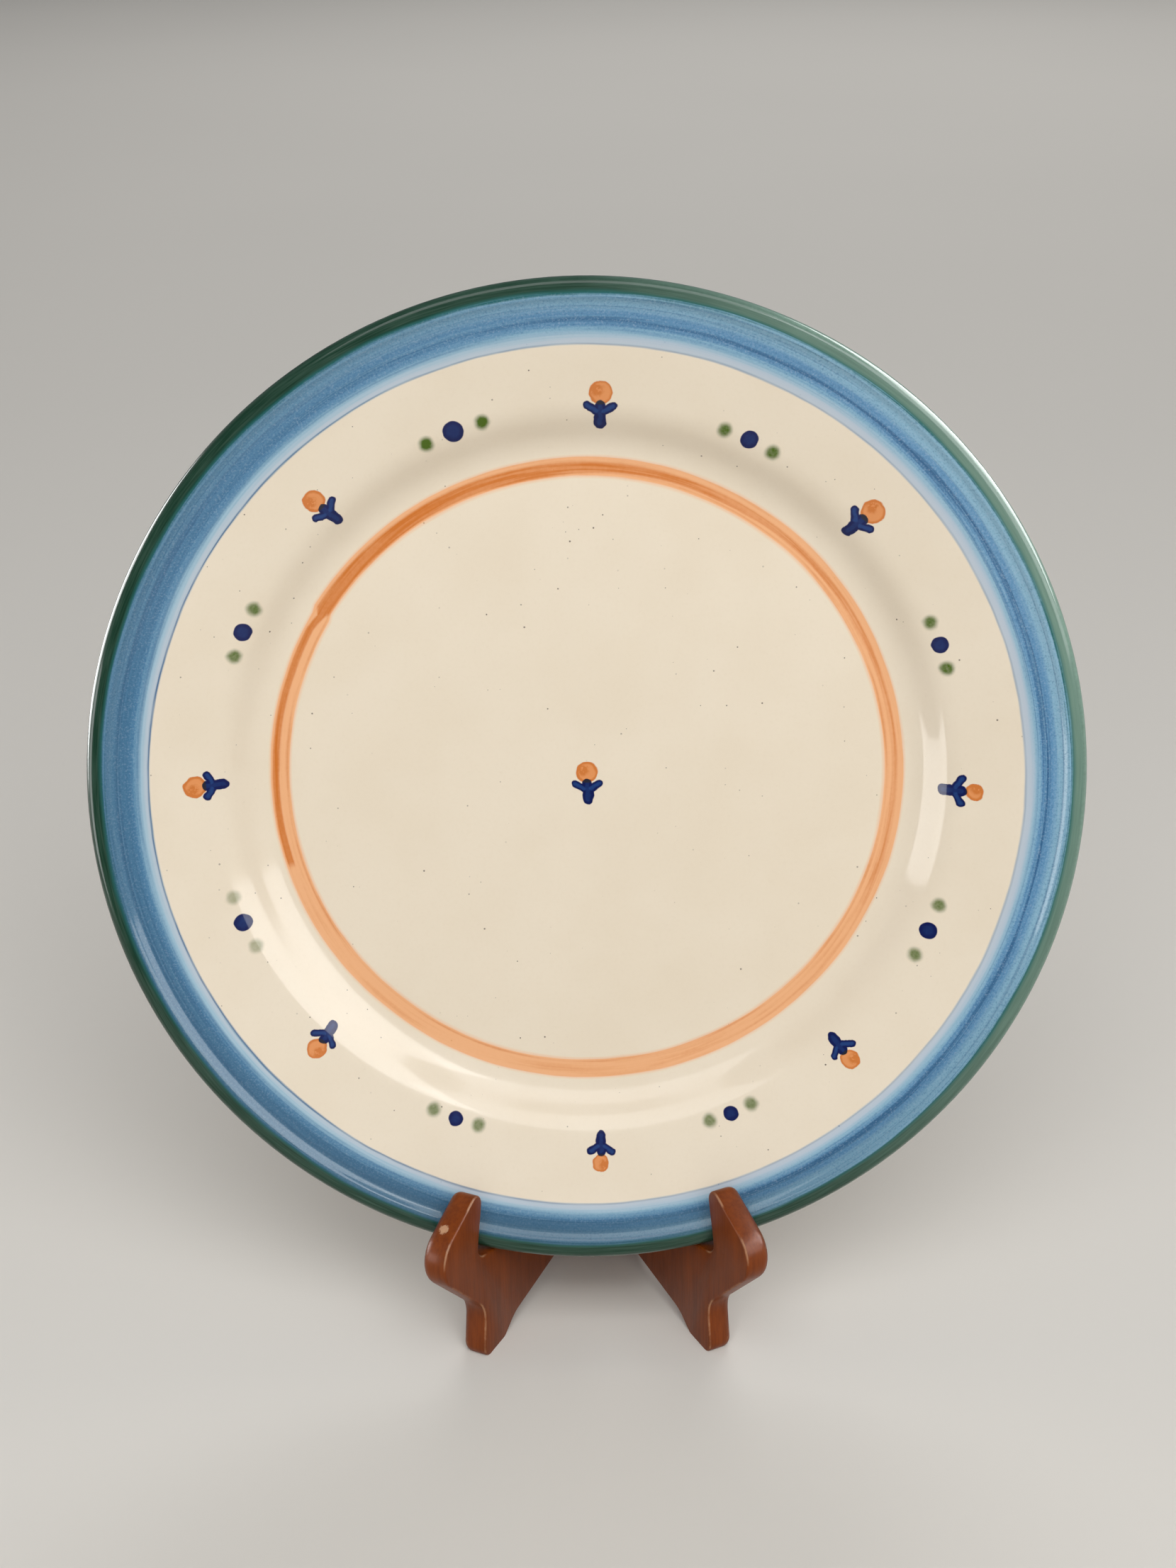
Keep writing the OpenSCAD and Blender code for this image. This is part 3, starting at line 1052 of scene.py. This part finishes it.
def make_screw(name):
    """A slotted countersunk screw along -Y, with its head's top at the origin."""
    cone = SCREW_HEAD - SCREW_SHANK
    upright = (math.pi / 2, 0, 0)
    screw = start(
        name,
        bpy.ops.mesh.primitive_cone_add,
        vertices=32,
        radius1=SCREW_HEAD,
        radius2=SCREW_SHANK,
        depth=cone,
        location=(0, -cone / 2, 0),
        rotation=upright,
    )
    take(screw)
    bpy.ops.object.transform_apply(location=True, rotation=True, scale=True)
    shank = start(
        "shank",
        bpy.ops.mesh.primitive_cylinder_add,
        vertices=32,
        radius=SCREW_SHANK,
        depth=SCREW_LENGTH - cone / 2,
        location=(0, -(SCREW_LENGTH + cone / 2) / 2, 0),
        rotation=upright,
    )
    combine(screw, shank, "UNION")
    slot = start("slot", bpy.ops.mesh.primitive_cube_add, size=1, location=(0, 0, 0))
    slot.scale = (0.5 * MM, 0.9 * MM, 4 * MM)
    combine(screw, slot, "DIFFERENCE")
    return screw


class STAND_OT_hinges(bpy.types.Operator):
    """Fits the brass hinges, their pins and their slotted screws"""

    bl_idname = "stand.hinges"
    bl_label = "Fit the hinges"

    def execute(self, context):
        sizes = context.scene.stand_sizes
        brass = aged_brass(context.scene.finish_colours)
        for name, node in frame["nodes"].items():
            if "leaf" in name or "pin" in name:
                for place in node.material_slots:
                    place.material = brass
        pattern = make_screw("screw_pattern")
        rows = ((-1, "left_hinge_screws", "stand"), (1, "right_hinge_screws", "swinging_board"))
        x = SIDE_GAP + sizes.thickness / 2
        y = -KNUCKLE + LEAF_THICKNESS
        for side, node, body in rows:
            screws = []
            for height in hinge_heights(sizes):
                for share, turn in ((0.2, 25), (0.8, -50)):
                    take(pattern)
                    bpy.ops.object.duplicate(linked=False)
                    screw = bpy.context.active_object
                    at = Matrix.Translation((x, y, height + LEAF_HEIGHT * share))
                    spin = Matrix.Rotation(math.radians(turn * side), 4, "Y")
                    put(screw, open_side(sizes, side) @ at @ spin)
                    screws.append(screw)
            take(screws[0])
            for screw in screws:
                screw.select_set(True)
            bpy.ops.object.join()
            screws[0].name = "slotted_" + node
            smooth(screws[0], 30)
            dress(screws[0], brass, body, "hinge_brass", node)
        bpy.data.objects.remove(pattern, do_unlink=True)
        return {"FINISHED"}


# ---------------------------------------------------------------- studio


# Places in the studio are in metres
PLATE_MIDDLE = Vector((0, 0, 0.16))
FLOOR_SIZE = 14
SKY_COLOUR = (0.95, 0.97, 1.0, 1)


def soft_light(name, place, size, watts, lights=True, shines=True):
    """A rectangular soft light that faces the plate. It can light, shine in the glaze, or both."""
    deselect()
    bpy.ops.object.light_add(type="AREA", location=place)
    lamp = bpy.context.active_object
    lamp.name = name
    lamp.data.shape = "RECTANGLE"
    lamp.data.size, lamp.data.size_y = size
    lamp.data.energy = watts
    lamp.visible_diffuse, lamp.visible_glossy = lights, shines
    lamp.rotation_euler = (PLATE_MIDDLE - Vector(place)).to_track_quat("-Z", "Y").to_euler()


class STAGE_OT_studio(bpy.types.Operator):
    """Lays the floor, hangs the soft lights and sets up the camera"""

    bl_idname = "stage.studio"
    bl_label = "Set up the studio"

    def execute(self, context):
        scene = context.scene
        s = scene.stage_settings
        floor = start("studio_floor", bpy.ops.mesh.primitive_plane_add, size=FLOOR_SIZE)
        edit(floor)
        bpy.ops.mesh.subdivide(number_cuts=3)
        done()
        b = Bench("floor_paint")
        tone = b.noise(b.place(), 0.8, 2)
        pale = b.mix(s.floor, [v * 0.94 for v in s.floor], tone)
        floor.data.materials.append(b.finish(pale, 0.7, fixed={"Specular IOR Level": 0.0}))
        soft_light("front_light", (0.05, -1.6, 1.15), (1.8, 1.4), s.front, shines=False)
        soft_light("key_light", (0.9, -1.25, 1.35), (1.2, 1.0), s.key, shines=False)
        soft_light("rear_light", (0.6, 3.0, 2.6), (2.4, 2.0), s.rear, shines=False)
        soft_light("ceiling_light", (0.0, -0.95, 1.69), (1.6, 0.9), s.ceiling)
        soft_light("sheen_light", (1.22, -1.1, 1.11), (1.35, 1.4), s.sheen, lights=False)
        soft_light("edge_light", (1.42, 0.4, 1.09), (1.7, 1.2), s.edge, lights=False)
        soft_light("window_light", (-0.64, -0.31, 0.16), (0.3, 0.3), s.window, lights=False)
        soft_light("side_light", (-0.8, 0.25, 0.27), (0.6, 0.5), s.side, lights=False)
        world = bpy.data.worlds.new("studio_room")
        world.use_nodes = True
        back = world.node_tree.nodes["Background"]
        back.inputs["Color"].default_value = SKY_COLOUR
        back.inputs["Strength"].default_value = s.sky
        scene.world = world
        deselect()
        place = HINGE_FOOT + Vector((s.aside, -s.back, s.above))
        bpy.ops.object.camera_add(location=place)
        camera = bpy.context.active_object
        camera.name = "camera"
        view = Matrix.Rotation(math.pi / 2 - s.pitch, 3, "X") @ Matrix.Rotation(-s.roll, 3, "Z")
        camera.rotation_euler = view.to_euler()
        camera.data.lens = s.lens
        camera.data.sensor_width = 36
        camera.data.dof.use_dof = False
        scene.camera = camera
        scene.view_settings.view_transform = "Standard"
        return {"FINISHED"}


class VIEW3D_PT_plate(bpy.types.Panel):
    """Buttons and sizes of the plate and its stand"""

    bl_label = "Plate on a stand"
    bl_space_type = "VIEW_3D"
    bl_region_type = "UI"
    bl_category = "Plate"

    def draw(self, context):
        for operator in OPERATORS:
            self.layout.operator(operator.bl_idname)
        for group, kind in GROUPS.items():
            box = self.layout.box()
            for name in kind.__annotations__:
                box.prop(getattr(context.scene, group), name)


OPERATORS = (PLATE_OT_throw, STAND_OT_boards, STAND_OT_hinges, STAGE_OT_studio)


def register():
    for kind in (*GROUPS.values(), *OPERATORS, VIEW3D_PT_plate):
        bpy.utils.register_class(kind)
    for name, kind in GROUPS.items():
        setattr(bpy.types.Scene, name, bpy.props.PointerProperty(type=kind))


def unregister():
    for name in GROUPS:
        delattr(bpy.types.Scene, name)
    for kind in (VIEW3D_PT_plate, *reversed(OPERATORS), *reversed(tuple(GROUPS.values()))):
        bpy.utils.unregister_class(kind)


def main():
    register()
    bpy.ops.plate.throw()
    bpy.ops.stand.boards()
    bpy.ops.stand.hinges()
    bpy.ops.stage.studio()


if __name__ == "__main__":
    main()
